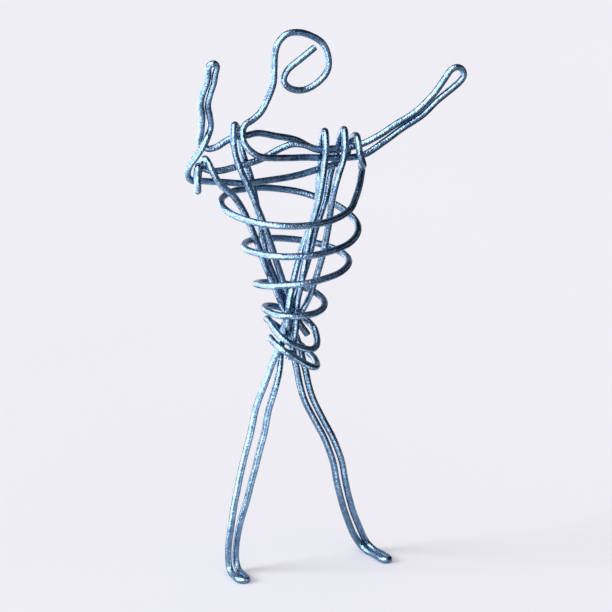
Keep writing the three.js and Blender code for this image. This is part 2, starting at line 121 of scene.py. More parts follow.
def turn_back(place, length, radius, side, bow=0.0):
    """Points round the tip of a hairpin whose first strand is on that side."""
    middle = length - radius
    return [place(middle + radius * math.cos(a), bow + side * radius * math.sin(a)) for a in ROUND_THE_TIP]


def arm(root, along, across, length, outline, radius, bow, side):
    """Points out along one strand, round the hand and back along the other.

    Each row of the outline is a share of the length, how far the middle line bows aside there, and half the
    distance between the strands.
    """
    def place(out, aside):
        return np.array(root) + out * np.array(along) + aside * np.array(across)

    rows = [(0, 0, PAIR / 2)] + outline
    out, home = ([place(share * length, b + s * half) for share, b, half in rows] for s in (side, -side))
    return out + turn_back(place, length, radius, side, bow) + home[::-1]


print("points round a tip:", len(ROUND_THE_TIP))

# %% Points of the arms and the back
RIGHT_ROOT, RIGHT_ALONG, RIGHT_ACROSS = (17.5, MID, SHOULDER + 2.8), (0.8, 0, 0.6), (0.6, 0, -0.8)
LEFT_ROOT, LEFT_ALONG, LEFT_ACROSS = (-26.3, MID - 1, SHOULDER + 11), (0, -0.31, 0.95), (1, 0, 0)
right_outline = [
    (0.18, 0.6, BESIDE / 2), (0.43, 1.6, BESIDE / 2), (0.62, 1.45, BESIDE / 2), (0.73, 1.2, 1.26),
    (0.83, 0.95, 1.63)]
left_outline = [
    (0.19, -0.4, BESIDE / 2), (0.37, -1.2, BESIDE / 2), (0.54, -1.1, BESIDE / 2), (0.71, -0.5, BESIDE / 2),
    (0.84, -0.4, BESIDE / 2)]
right_arm = arm(RIGHT_ROOT, RIGHT_ALONG, RIGHT_ACROSS, length=24.8, outline=right_outline,
                radius=1.85, bow=0.7, side=1)
left_arm = arm(LEFT_ROOT, LEFT_ALONG, LEFT_ACROSS, length=18.2, outline=left_outline,
               radius=1.0, bow=-0.4, side=-1)
back = [
    (12.7, MID + 0.5, SHOULDER + 1.8), (9, FAR, SHOULDER + 1.4), (5.1, FAR, SHOULDER + 1.2),
    (1.5, FAR, SHOULDER + 2), (-2.8, MID + 2, SHOULDER + 4.3), (-7.7, MID + 2.3, SHOULDER + 5.9),
    (-12.7, MID + 1.4, SHOULDER + 7.5), (-16, MID, SHOULDER + 7.9), (-18.8, MID, SHOULDER + 7.8),
    (-21, MID, SHOULDER + 7), (-23.4, MID, SHOULDER + 5.9), (-25.5, MID + 0.3, SHOULDER + 5.7),
    (-27, MID + 1, SHOULDER + 7)]
print("arms:", len(right_arm), "and", len(left_arm), "points")

# %% [markdown]
# ## The coil that binds the torso
# From the left arm the wire goes round the shoulder, across the chest, once round the right arm and then
# down in five and a half turns that narrow from the chest to the waist. This is the figure's most skilled
# bend. A plain helix would look machine-made: the real first turn starts tucked in and dips in front, the
# middle turns sway to the right, and the last ones lean over, hang in front and are squarer, where they
# were pulled tight round the strands. So the turns come from a formula with those habits in it, sixteen
# points to a turn.

# %% Points of the chest run
chest = [
    (-27, MID - 2.4, SHOULDER + 8.2), (-29, MID - 2.2, SHOULDER + 5.4), (-30.65, MID - 1.2, SHOULDER + 2.2),
    (-30.55, MID - 0.4, SHOULDER - 0.2), (-29.2, MID, SHOULDER - 1.5), (-27, MID, SHOULDER - 1.8),
    (-22, MID, SHOULDER - 2.7), (-17.5, MID, SHOULDER - 3.6), (-13.7, MID, SHOULDER - 3.8),
    (-6, MID + 0.5, SHOULDER - 3.8), (-2.3, FAR, SHOULDER - 3.7), (2.5, FAR, SHOULDER - 2.9),
    (7, FAR, SHOULDER - 2.2), (9.5, MID + 1.8, SHOULDER - 1), (10.6, HOOK_REAR, SHOULDER + 1.2),
    (11.2, MID + 1.6, SHOULDER + 3.7), (11, MID - 0.6, SHOULDER + 4.5), (10.6, MID - 2.4, SHOULDER + 3.6),
    (10.9, HOOK_FRONT, SHOULDER + 1), (11.9, MID - 2.5, SHOULDER - 1.7), (12.7, MID - 0.6, SHOULDER - 3),
    (13, MID + 1.4, SHOULDER - 3.3), (13.6, MID + 2.2, SHOULDER - 4.9)]
print("chest run:", len(chest), "points")

# %% Points of the coil
COIL_TURNS, COIL_POINTS, TAPER_TURNS = 5.5, 16, 4.2
COIL_TOP, FIRST_PITCH, PITCH_LOSS = 4.7, 0.286 * CHEST_LENGTH, 0.017 * CHEST_LENGTH
CHEST_X, CHEST_HALF_WIDTH, CHEST_HALF_DEPTH = -5.1, 17.2, 11.0
WAIST_X, WAIST_HALF_WIDTH, WAIST_HALF_DEPTH = -4.4, 5.6, 2.65 * LAYER
COIL_SWAY, START_TUCK, WAIST_SQUARENESS = 2.4, 1.6, 0.75
CHEST_LEAN, TOP_LEAN, WAIST_LEAN = 0.7, 1.2, 3.8
FRONT_DIP, FOURTH_SAG, FIFTH_DIP, LAST_DIP = 5.0, 1.5, 3.1, 1.45


def ease(value, low, high):
    """0 below low, 1 above high, and a smooth rise between them."""
    t = min(max((value - low) / (high - low), 0), 1)
    return t * t * (3 - 2 * t)


def coil_point(turns):
    """The coil's middle line after so many turns down from the right shoulder.

    Each habit of the bend eases in, and some ease out again, between two counts of turns.
    """
    narrow = ease(turns, 0, TAPER_TURNS)
    power = 1 - (1 - WAIST_SQUARENESS) * ease(turns, 2.5, TAPER_TURNS)
    cosine, sine = math.cos(2 * math.pi * turns), math.sin(2 * math.pi * turns)
    across = math.copysign(abs(cosine) ** power, cosine)
    forward = math.copysign(abs(sine) ** power, sine)
    sway = COIL_SWAY * (ease(turns, 0.75, 1.5) - ease(turns, 1.9, 3.1))
    tuck = START_TUCK * (1 - ease(turns, 0, 0.3))
    lean = CHEST_LEAN + TOP_LEAN * max(0, 1 - turns / 1.5) + WAIST_LEAN * ease(turns, 3, 5)
    dip = FRONT_DIP * max(0, 1 - turns / 2)
    hang = (FIFTH_DIP + (LAST_DIP - FIFTH_DIP) * ease(turns, 4.5, 5)) * ease(turns, 3.5, 4)
    sag = FOURTH_SAG * (ease(turns, 2, 3) - ease(turns, 3.1, 3.8))
    drop = COIL_TOP + FIRST_PITCH * turns - PITCH_LOSS * turns ** 2 + sag
    half_width = CHEST_HALF_WIDTH + (WAIST_HALF_WIDTH - CHEST_HALF_WIDTH) * narrow - tuck
    half_depth = CHEST_HALF_DEPTH + (WAIST_HALF_DEPTH - CHEST_HALF_DEPTH) * narrow
    return (CHEST_X + (WAIST_X - CHEST_X) * narrow + sway + half_width * across,
            MID + narrow * LAYER / 2 - half_depth * forward,
            SHOULDER - drop - lean * across - dip * forward - hang * max(0, forward))


coil = [coil_point((i + 1) / COIL_POINTS) for i in range(round(COIL_TURNS * COIL_POINTS))]
print("coil:", len(coil) / COIL_POINTS, "turns")

# %% [markdown]
# ## The second wire: left hook, right leg and tie
# It starts at a cut end in the waist, goes up the left side, hooks over the shoulder wires, comes down
# behind and runs into the right leg. From the foot it goes back up to the left shoulder, once round the
# wires there, and ends between the right hooks. The right leg's strands were pressed together along their
# length, so they share one list of points, moved half a spread to either side.

# %% Points of the second wire
SOLE_FLAT = 0.16
SOLE = WIRE_D / 2 - SOLE_FLAT
RIGHT_HIP_X, RIGHT_TOE_X = -2.4, 17.3
RIGHT_LEG_SPREAD = 1.08 * LAYER
left_hook = [
    (-0.9, MID, WAIST - 2.9), (-2, MID, WAIST - 1.2), (-3.1, MID, WAIST + 0.6), (-4.7, MID, WAIST + 4.5),
    (-6.4, MID, WAIST + 9), (-8.3, MID, WAIST + 15), (-12, FRONT, WAIST + 25), (-16.3, FRONT, SHOULDER - 4),
    (-18.6, FRONT, SHOULDER + 1.3), (-19.7, FRONT, SHOULDER + 5), (-20, FRONT, SHOULDER + 8.2),
    (-18.9, MID, SHOULDER + 10.8), (-17.2, REAR, SHOULDER + 8.3), (-16.6, REAR, SHOULDER + 4.5),
    (-15.6, REAR, SHOULDER + 1), (-14, REAR, SHOULDER - 4), (-11.8, REAR, WAIST + 24),
    (-10.2, REAR, WAIST + 16.5), (-8.2, REAR, WAIST + 11), (-6, REAR, WAIST + 5), (-4.3, REAR, WAIST),
    (-2.6, MID + 1.2, WAIST - 5.5)]
shin = np.array([
    (RIGHT_HIP_X, MID, HIP), (-1.8, MID, HIP - 3), (-0.1, MID + 0.5, HIP - 8), (2.7, MID + 1, HIP - 13.5),
    (5.2, MID + 1.1, HIP - 18.7), (7.1, MID + 1.5, HIP - 23.8), (8.4, MID + 2, HIP - 29.5),
    (9.6, MID + 2.5, HIP - 34.3), (11.2, MID + 3, 9.9), (13.1, MID + 3.5, 5.2)])
heel_and_foot = np.array([
    (14.5, 0.9, 2.7), (15.3, 0.5, SOLE + 0.8), (16.1, -1.2, SOLE), (16.8, -4, SOLE)])
shin_aside, foot_aside = np.array([RIGHT_LEG_SPREAD / 2, 0, 0]), np.array([BESIDE / 2, 0, 0])
right_toe = turn_back(lambda out, aside: (RIGHT_TOE_X + aside, -out, SOLE), length=8,
                      radius=BESIDE / 2, side=1)
right_leg = [*(shin + shin_aside), *(heel_and_foot + foot_aside), *right_toe,
             *(heel_and_foot - foot_aside)[::-1], *(shin - shin_aside)[::-1]]
left_tie = [
    (-4.7, MID, WAIST - 5.5), (-5.7, MID, WAIST + 0.6), (-6.9, MID, WAIST + 4.5), (-8.7, MID, WAIST + 9),
    (-11.1, MID - 0.4, WAIST + 14.5), (-15.3, MID - 1, WAIST + 25.7), (-19.5, FRONT, SHOULDER - 6.4),
    (-23, FRONT, SHOULDER - 2.7), (-25, FRONT, SHOULDER + 0.6), (-25.8, FRONT + 0.2, SHOULDER + 2.4),
    (-26.2, MID, SHOULDER + 3.5), (-26.6, REAR, SHOULDER + 1.7), (-27.1, REAR + 0.1, SHOULDER - 1.4),
    (-27.5, MID + 1.5, SHOULDER - 3.3), (-28, MID, SHOULDER - 4.1), (-28.5, MID - 1.5, SHOULDER - 3.4),
    (-28.8, FRONT - 0.1, SHOULDER - 1.6), (-29, FRONT - 0.1, SHOULDER + 0.5),
    (-28.5, MID - 1.4, SHOULDER + 2.3), (-27.3, MID, SHOULDER + 1.6), (-24.5, MID, SHOULDER + 0.3),
    (-22, MID, SHOULDER + 0.1), (-18.7, MID, SHOULDER + 0.5), (-15.5, MID, SHOULDER + 1),
    (-12.5, MID, SHOULDER + 1.6), (-7.5, MID, SHOULDER + 3.6), (-4.8, MID - 0.2, SHOULDER + 4.3),
    (-2.2, MID - 0.6, SHOULDER + 4), (1, NEAR, SHOULDER + 2.7), (6.3, NEAR, SHOULDER + 2.2)]
print("second wire:", len(left_hook) + len(right_leg) + len(left_tie), "points")

# %% [markdown]
# ## The third wire: the right hooks and the left leg
# It starts at a cut end below the waist, goes up in front and over the shoulder wires, and comes down
# into the left leg. From the foot it goes up behind the waist and over the shoulder wires again, beside
# its first hook, and ends at the back of the waist. The two bright strands in front of the chest are
# these hooks. The left leg's strands stand apart and close towards the foot, so each has points of its
# own.

# %% Points of the third wire
LEFT_HIP_X, LEFT_HIP_SPREAD = -9.6, 2.8
LEFT_FOOT_X, LEFT_FOOT_WIDTH = -18.5, 2.2
inner_hook = [
    (-6.4, FRONT, WAIST - 7.6), (-5.2, FRONT, WAIST - 3.5), (-4.6, FRONT, WAIST),
    (-4.3, FRONT, WAIST + 5.7), (-3.4, FRONT - 0.6, WAIST + 11.6), (-1, FRONT - 0.4, WAIST + 23.8),
    (1, FRONT - 0.6, SHOULDER - 8.6), (1.9, HOOK_FRONT, SHOULDER - 2.3), (2.5, HOOK_FRONT, SHOULDER + 3.1),
    (3.4, MID, SHOULDER + 6.5), (3.6, HOOK_REAR, SHOULDER + 2.8), (3.4, HOOK_REAR, SHOULDER - 2),
    (3.1, HOOK_REAR, SHOULDER - 5.5), (2.2, MID + 1.6, SHOULDER - 11.2), (-0.2, MID + 0.8, WAIST + 23),
    (-3.6, MID - 0.9, WAIST + 16), (-5.3, MID - 1.8, WAIST + 11), (-6.4, FRONT, WAIST + 5.5),
    (-6.7, FRONT, WAIST + 1), (-7.1, MID - 1.1, WAIST - 2.5), (-9.1, MID - 0.3, WAIST - 7)]
hip_outer, hip_inner = LEFT_HIP_X - LEFT_HIP_SPREAD / 2, LEFT_HIP_X + LEFT_HIP_SPREAD / 2
foot_outer, foot_inner = LEFT_FOOT_X - LEFT_FOOT_WIDTH / 2, LEFT_FOOT_X + LEFT_FOOT_WIDTH / 2
left_toe = turn_back(lambda out, aside: (LEFT_FOOT_X + aside, -out, SOLE), length=7.1,
                     radius=LEFT_FOOT_WIDTH / 2, side=-1)
left_leg = [
    (hip_outer, MID, HIP), (-13.7, MID + 0.3, HIP - 7.4), (-15, MID + 0.6, HIP - 13.9),
    (-16.6, MID + 1, HIP - 20.3), (-18.6, MID + 2, HIP - 32), (-19.3, MID + 2.6, 10.8),
    (-19.7, MID + 3, 6.5), (-19.7, MID + 3, 3), (foot_outer, -0.6, SOLE + 0.6), (foot_outer, -1.9, SOLE),
    (foot_outer, -4, SOLE), *left_toe, (foot_inner, -3.6, SOLE), (foot_inner, -0.9, SOLE),
    (foot_inner, 0.4, SOLE + 0.6), (-17.5, MID + 4, 3), (-17.4, MID + 4, 5.6), (-17, MID + 3.4, 10.2),
    (-15.6, MID + 2.6, HIP - 32.6), (-13.2, MID + 1, HIP - 20.8), (-11.6, MID + 0.6, HIP - 14.4),
    (-10.4, MID + 0.3, HIP - 7.9), (hip_inner, MID, HIP)]
outer_hook = [
    (-6.9, MID + 1.6, WAIST - 6.5), (-5.6, BACK, WAIST - 3), (-4.4, BACK, WAIST + 1),
    (-2.5, BACK, WAIST + 5), (-0.3, BACK - 0.1, WAIST + 10.6), (0.8, BACK - 0.3, WAIST + 14.4),
    (2.6, MID + 3.2, WAIST + 22.3), (4.8, HOOK_REAR, SHOULDER - 11), (5.8, HOOK_REAR, SHOULDER - 6),
    (7.5, HOOK_REAR, SHOULDER - 0.2), (8.1, HOOK_REAR, SHOULDER + 2.8), (8.2, MID, SHOULDER + 6.3),
    (7.2, HOOK_FRONT, SHOULDER + 2.8), (6.8, HOOK_FRONT, SHOULDER), (5.6, HOOK_FRONT, SHOULDER - 3.6),
    (4.5, MID - 2, SHOULDER - 9.4), (4.2, MID - 0.1, WAIST + 22.8), (3.4, MID + 1.2, WAIST + 16),
    (1.5, MID + 2.3, WAIST + 8.2), (0.2, BACK - 0.2, WAIST + 3.4), (-2.1, BACK, WAIST - 0.2),
    (-3.2, BACK, WAIST - 2.2)]
print("third wire:", len(inner_hook) + len(left_leg) + len(outer_hook), "points")

# %% [markdown]
# ## From points to a bent wire
# A wire bent by hand runs smoothly through its points, turning most where it was gripped. A centripetal
# Catmull-Rom curve does that without loops or overshoot where the points are unevenly spaced, and it is the
# curve that the CAD follows. Blender's own curve objects could carry a round bevel, but rings laid one by
# one allow three things that a bevel doesn't: more rings where the wire turns, a section that flattens a
# little in a tight bend, and the length along the wire kept on each point, so that the zinc's pattern can
# follow it.

# %% The middle line of a wire
RING_STEP = 0.5
RING_TURN = math.radians(8)


def middle_line(points):
    """Points along the curve, and the number of the ring at each given point."""
    p = np.array(points, float)
    p = np.vstack([2 * p[0] - p[1], p, 2 * p[-1] - p[-2]])
    rings, at_point = [], [0]
    for p0, p1, p2, p3 in zip(p, p[1:], p[2:], p[3:]):
        d0, d1, d2 = (np.linalg.norm(step) ** 0.5 for step in (p1 - p0, p2 - p1, p3 - p2))
        leave = d1 * ((p1 - p0) / d0 - (p2 - p0) / (d0 + d1) + (p2 - p1) / d1)
        reach = d1 * ((p2 - p1) / d1 - (p3 - p1) / (d1 + d2) + (p3 - p2) / d2)
        turn = Vector(leave).angle(Vector(reach))
        count = max(2, math.ceil(np.linalg.norm(p2 - p1) / RING_STEP), math.ceil(turn / RING_TURN))
        t = np.linspace(0, 1, count, endpoint=False)[:, None]
        rings.append(p1 + leave * t + (3 * (p2 - p1) - 2 * leave - reach) * t ** 2
                     + (2 * (p1 - p2) + leave + reach) * t ** 3)
        at_point.append(at_point[-1] + count)
    return np.vstack(rings + [p[-2]]), at_point


first, first_at = middle_line([*head, neck, *collar, *right_arm, *back, *left_arm, *chest, *coil])
second, _ = middle_line([*left_hook, *right_leg, *left_tie])
third, _ = middle_line([*inner_hook, *left_leg, *outer_hook])
for name, line in (("first", first), ("second", second), ("third", third)):
    length = np.linalg.norm(np.diff(line, axis=0), axis=1).sum()
    print(name, "wire:", len(line), "rings,", round(length), "mm long")

# %% [markdown]
# ## Rings round the middle line
# Each ring takes its direction from the one before, turned no more than the wire turns, so the surface
# doesn't twist. Soft wire also isn't perfectly straight between bends: it keeps a faint wave from the
# coil that it was bought in, some hundredths of a millimetre, and that breaks up the long highlights. In
# a tight bend the section goes slightly oval, and at a cut end the jaws of the cutters leave a narrow
# wedge.

# %% The rings of a wire
SIDES = 14
WAVE, STILL_END = 0.045, 6.0
SHORT_WAVE, LONG_WAVE, LONG_WAVE_START = 0.71, 0.29, 1.3
FLATTENING = 0.08
WEDGE_LENGTH, WEDGE_THICKNESS = 0.5, 0.7
# The first ring is turned from this direction, in which no wire starts.
NO_WIRES_START = (0.3, 0.9, 0.3)
TURNS_ROUND = np.linspace(0, 2 * math.pi, SIDES, endpoint=False)


def rings_of(line):
    """Points of every ring, and their places on the straight wire: length along it, and the section."""
    length = np.concatenate([[0], np.cumsum(np.linalg.norm(np.diff(line, axis=0), axis=1))])
    tangent = np.gradient(line, length, axis=0)
    tangent /= np.linalg.norm(tangent, axis=1)[:, None]
    curving = np.gradient(tangent, length, axis=0)
    side = np.cross(tangent[0], NO_WIRES_START)
    rings, places = [], []
    for middle, along, curve, s in zip(line, tangent, curving, length):
        side = side - along * side.dot(along)
        side /= np.linalg.norm(side)
        other = np.cross(along, side)
        to_end = min(s, length[-1] - s)
        wedge = WEDGE_THICKNESS + (1 - WEDGE_THICKNESS) * ease(to_end, 0, WEDGE_LENGTH)
        swing = math.sin(SHORT_WAVE * s) + math.sin(LONG_WAVE * s + LONG_WAVE_START)
        wave = WAVE * ease(to_end, 0, STILL_END) * swing
        spoke = np.outer(np.cos(TURNS_ROUND), side) + np.outer(wedge * np.sin(TURNS_ROUND), other)
        bend = np.linalg.norm(curve)
        inwards = spoke @ (curve / max(bend, 1e-9))
        oval = min(FLATTENING, FLATTENING * bend * WIRE_D / 2) * (0.5 - 1.5 * inwards ** 2)
        rings.append(middle + wave * other + WIRE_D / 2 * spoke * (1 + oval)[:, None])
        places.append(np.column_stack([np.full(SIDES, s), WIRE_D / 2 * np.cos(TURNS_ROUND),
                                       WIRE_D / 2 * np.sin(TURNS_ROUND)]))
    return np.array(rings), np.array(places)


bent = {"first": rings_of(first), "second": rings_of(second), "third": rings_of(third)}
print("ring points:", {name: rings.shape[0] * SIDES for name, (rings, _) in bent.items()})

# %% [markdown]
# ## Pieces of wire
# A piece may bend at one joint only, so the first wire is made in four pieces that meet end to end: head,
# right arm, left arm and binding wire. They share the rings where they meet, at places that other turns
# of wire hide. The soles were rubbed flat on the floor, so no point goes below it. The edge of each end
# is kept sharp.

# %% Make a piece from rings
pieces = {}


def wire_piece(name, wire, start=0, end=None):
    """A closed mesh from one stretch of a wire's rings."""
    rings, places = bent[wire]
    stop = len(rings) if end is None else end + 1
    points = in_frame(rings[start:stop].reshape(-1, 3))
    points[:, 2] = np.maximum(points[:, 2], 0)
    count = stop - start
    corner = np.arange(count * SIDES).reshape(count, SIDES)
    after = np.roll(corner, -1, axis=1)
    walls = np.stack([corner[:-1], after[:-1], after[1:], corner[1:]], axis=-1).reshape(-1, 4)
    ends = [corner[0, ::-1].tolist(), corner[-1].tolist()]
    mesh = bpy.data.meshes.new(name)
    mesh.from_pydata(points.tolist(), [], walls.tolist() + ends)
    mesh.shade_smooth()
    rims = {frozenset(pair) for ring in (0, -1)
            for pair in zip(corner[ring].tolist(), after[ring].tolist())}
    for edge in mesh.edges:
        edge.use_edge_sharp = frozenset(edge.vertices) in rims
    on_wire = mesh.attributes.new("wire_mm", "FLOAT_VECTOR", "POINT")
    on_wire.data.foreach_set("vector", places[start:stop].astype(np.float32).ravel())
    pieces[name] = bpy.data.objects.new(name, mesh)
    bpy.context.scene.collection.objects.link(pieces[name])
    print(name, count, "rings")


# %% Make the six pieces
POINTS_TO_THE_TIE = 4
collar_end = first_at[len(head) + len(collar)]
back_start = first_at[len(head) + 1 + len(collar) + len(right_arm)]
chest_first = len(head) + 1 + len(collar) + len(right_arm) + len(back) + len(left_arm)
behind_the_tie = first_at[chest_first + POINTS_TO_THE_TIE]
wire_piece("head_wire", "first", 0, collar_end)
wire_piece("right_arm_wire", "first", collar_end, back_start)
wire_piece("left_arm_wire", "first", back_start, behind_the_tie)
wire_piece("binding_wire_coil", "first", behind_the_tie)
wire_piece("right_leg_wire", "second")
wire_piece("left_leg_wire", "third")

# %% [markdown]
# ## Galvanised steel wire
# The wire is soft steel with a thin coat of zinc from a hot bath. Zinc is a grey-blue metal, and on wire
# the coat is dull and lightly pitted, with a crystal grain of a millimetre or so and fine pale specks of
# oxide. To the eye that is a cool blue metal with broad, soft highlights that break up into grains. A
# picture of zinc would have to be wrapped round every bend. Nodes draw it in three sizes from one
# coordinate instead, the place on the straight wire in millimetres, so that grain and specks follow the
# wire.

# %% Helpers for materials


def linear(hex_colour):
    """An sRGB hex colour as linear red, green, blue and alpha."""
    parts = [int(hex_colour[i:i + 2], 16) / 255 for i in (1, 3, 5)]
    return [c / 12.92 if c <= 0.04045 else ((c + 0.055) / 1.055) ** 2.4 for c in parts] + [1.0]


def add(tree, kind, inputs=(), **settings):
    """Adds a node with its settings. An input is a value, or a socket to link from."""
    node = tree.nodes.new(kind)
    for key, value in settings.items():
        setattr(node, key, value)
    for socket, value in dict(inputs).items():
        if isinstance(value, bpy.types.NodeSocket):
            tree.links.new(value, node.inputs[socket])
        else:
            node.inputs[socket].default_value = value
    return node


def new_material(name):
    """A material with nodes, and its empty tree."""
    material = bpy.data.materials.new(name)
    material.use_nodes = True
    material.node_tree.nodes.clear()
    return material, material.node_tree


print("the zinc's darker blue in linear light:", [round(c, 2) for c in linear("#50708f")])

# %% The zinc coat
GRAIN_MM, SPECK_MM, PIT_MM, RELIEF_MM = 1.7, 0.34, 0.5, 0.12
zinc, tree = new_material("GalvanisedSteelWire")
on_wire = add(tree, "ShaderNodeAttribute", attribute_name="wire_mm").outputs["Vector"]
grain = add(tree, "ShaderNodeTexNoise", {
    "Vector": on_wire, "Scale": 1 / GRAIN_MM, "Detail": 3, "Roughness": 0.6})
specks = add(tree, "ShaderNodeTexNoise", {"Vector": on_wire, "Scale": 1 / SPECK_MM, "Detail": 1})
pits = add(tree, "ShaderNodeTexVoronoi", {"Vector": on_wire, "Scale": 1 / PIT_MM})
tone = add(tree, "ShaderNodeValToRGB", {"Fac": grain.outputs["Fac"]})
for stop, position, colour in zip(tone.color_ramp.elements, (0.33, 0.68), ("#50708f", "#7291b1")):
    stop.position = position
    stop.color = linear(colour)
oxide = add(tree, "ShaderNodeMapRange", {
    "Value": specks.outputs["Fac"], "From Min": 0.6, "From Max": 0.72, "To Max": 0.55})
coat = add(tree, "ShaderNodeMix", {
    "Factor": oxide.outputs["Result"], "A": tone.outputs["Color"],
    "B": linear("#c0d0de")}, data_type="RGBA")
dullness = add(tree, "ShaderNodeMapRange", {
    "Value": grain.outputs["Fac"], "From Min": 0.3, "From Max": 0.7, "To Min": 0.17, "To Max": 0.29})
pitted = add(tree, "ShaderNodeMath", {
    0: pits.outputs["Distance"], 1: specks.outputs["Fac"]}, operation="ADD")
relief = add(tree, "ShaderNodeBump", {
    "Height": pitted.outputs["Value"], "Strength": 0.5, "Distance": RELIEF_MM * MM})
surface = add(tree, "ShaderNodeBsdfPrincipled", {
    "Base Color": coat.outputs["Result"], "Metallic": 1.0, "Roughness": dullness.outputs["Result"],
    "Normal": relief.outputs["Normal"]})
add(tree, "ShaderNodeOutputMaterial", {"Surface": surface.outputs["BSDF"]})
for piece in pieces.values():
    piece.data.materials.append(zinc)
print("zinc coat on", len(pieces), "pieces")

# %% [markdown]
# ## The pieces at the joints
# Soft wire is bent at the neck, the shoulders and the hips, a few millimetres at a time. A hinge would show
# a gap there, so each piece stays whole. Each piece keeps its place in the frame and hides the CAD parts
# that it replaces, and the binding wire follows the torso.

# %% Set the pieces in place of the CAD parts
BEND_LENGTH = 4.0


def bends(name, limb, at, along, *nodes):
    """Bakes the piece's place into its mesh and hides the CAD parts that it replaces."""
    half = BEND_LENGTH / 2 * np.array(along) / np.linalg.norm(along)
    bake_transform(pieces[name])
    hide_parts(*nodes)


bends("head_wire", "head", np.array(neck), (0.42, 0, 0.91), "head_loop", "neck_bend", "collar_run")
bends("right_arm_wire", "right_arm", np.array(RIGHT_ROOT), RIGHT_ALONG,
      "right_arm_bend_lower", "right_arm", "right_arm_bend_upper")
bends("left_arm_wire", "left_arm", np.array(LEFT_ROOT), LEFT_ALONG,
      "back_run", "left_arm_bend_outer", "left_arm", "left_arm_bend_inner")
bends("right_leg_wire", "right_leg", np.array([RIGHT_HIP_X, MID, HIP]), (0, 0, -1),
      "left_hook", "right_hip_bend_outer", "right_leg", "right_hip_bend_inner", "left_tie")
bends("left_leg_wire", "left_leg", np.array([LEFT_HIP_X, MID, HIP]), (0, 0, -1),
      "inner_hook", "left_hip_bend_outer", "left_leg", "left_hip_bend_inner", "outer_hook")
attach(pieces["binding_wire_coil"], "torso")
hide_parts("binding_wire")

# %% [markdown]
# ## Where the picture was taken from
# The camera stood a little to the left of the figure's front and twenty degrees above it. The cards and
# the light could be placed along X and Y, but what they do depends on where the viewer stands. So they
# are placed to the picture's right, towards the viewer and up, and the two viewing angles come first.

# %% The viewing angles
AZIMUTH, ELEVATION = math.radians(-22), math.radians(20)
ACROSS = Vector((math.cos(AZIMUTH), math.sin(AZIMUTH), 0))
NEARER = Vector((math.sin(AZIMUTH), -math.cos(AZIMUTH), 0))
UP = Vector((0, 0, 1))


def by_view(right, nearer, up):
    """A point or a direction: so far to the picture's right, towards the viewer, and up."""
    return right * ACROSS + nearer * NEARER + up * UP


print("picture's right is", [round(c, 2) for c in ACROSS])

# %% [markdown]
# ## Floor and cards
# The figure stands on a pale board with matt paint, which keeps its shadows and mirrors nothing. A round
# wire shows the whole room squeezed into its width, so its look is a matter of what stands round it. As in
# a photographer's set, white cards stand on the left and cards of dark felt, which swallows light, on the
# right. The white cards glow by themselves and light nothing, so they are painted highlights: an upright
# wire is white along its left side and dark along its right. They stand low and close, because a camera
# that looks down sees the floor a hand's width away in an upright wire, and the room overhead in a level
# one. The three low cards are for the legs: the dark one, behind on the left, draws the outline of their
# left edges. A dark card above and behind gives the level wires dark top edges, and a glowing one in front
# paints a highlight, a bright line under the middle. The other two overhead are for the sloping wires. All
# the cards show only in reflections.

# %% Board, felt and glowing card
CLOUD_MM = 1000 / 9
board, tree = new_material("MattPaintedBoard")
place = add(tree, "ShaderNodeTexCoord").outputs["Object"]
clouds = add(tree, "ShaderNodeTexNoise", {"Vector": place, "Scale": 1 / (CLOUD_MM * MM), "Detail": 2})
shade = add(tree, "ShaderNodeMix", {
    "Factor": clouds.outputs["Fac"], "A": linear("#f1f0f6"), "B": linear("#f4f3f8")}, data_type="RGBA")
surface = add(tree, "ShaderNodeBsdfPrincipled", {
    "Base Color": shade.outputs["Result"], "Roughness": 0.9, "Specular IOR Level": 0.0})
add(tree, "ShaderNodeOutputMaterial", {"Surface": surface.outputs["BSDF"]})

brown_felt, tree = new_material("DarkBrownFelt")
surface = add(tree, "ShaderNodeBsdfPrincipled", {"Base Color": linear("#231d1b"), "Roughness": 0.95})
add(tree, "ShaderNodeOutputMaterial", {"Surface": surface.outputs["BSDF"]})


def reflection_glow_card(name, brightness):
    """A card that glows by itself, so many times as bright as white paper in the room, and lights nothing:
    a painted highlight for the wires that reflect it.
    """
    material, tree = new_material(name)
    glow = add(tree, "ShaderNodeEmission", {"Color": linear("#fff2e6"), "Strength": brightness})
    add(tree, "ShaderNodeOutputMaterial", {"Surface": glow.outputs["Emission"]})
    return material


# Painted highlights: these cards glow, light nothing, and show only in the wires' reflections.
bright_glow_card, soft_glow_card = reflection_glow_card("BrightGlowCard", 6.8), reflection_glow_card("SoftGlowCard", 4.0)
print("stage materials:", [material.name for material in (board, brown_felt, bright_glow_card, soft_glow_card)])

# %% Helpers that set up a card
cards = []


def turned(facing):
    """The rotation that turns +Z to that direction, with the width along the view where it can be."""
    z = facing.normalized()
    x = NEARER if abs(z.dot(NEARER)) < 0.9 else ACROSS
    x = (x - z * x.dot(z)).normalized()
    return Matrix((x, z.cross(x), z)).transposed().to_euler()


def card(name, material, centre, facing, width, height, hidden=True):
    """A flat card of the stage, in metres. A hidden one shows only in reflections."""
    mesh = bpy.data.meshes.new(name)
    w, h = width / 2, height / 2
    mesh.from_pydata([(-w, -h, 0), (w, -h, 0), (w, h, 0), (-w, h, 0)], [], [(0, 1, 2, 3)])
    mesh.materials.append(material)
    stage_piece = bpy.data.objects.new(name, mesh)
    stage_piece.location = centre
    stage_piece.rotation_euler = turned(facing)
    if hidden:
        stage_piece.visible_camera = False
        stage_piece.visible_diffuse = False
        stage_piece.visible_shadow = False
    bpy.context.scene.collection.objects.link(stage_piece)
    cards.append(name)


def card_over(name, material, target, direction, distance, width, height):
    """A hidden card so far from a point of the figure, in that direction, and facing it."""
    card(name, material, target + distance * direction, -direction, width, height)


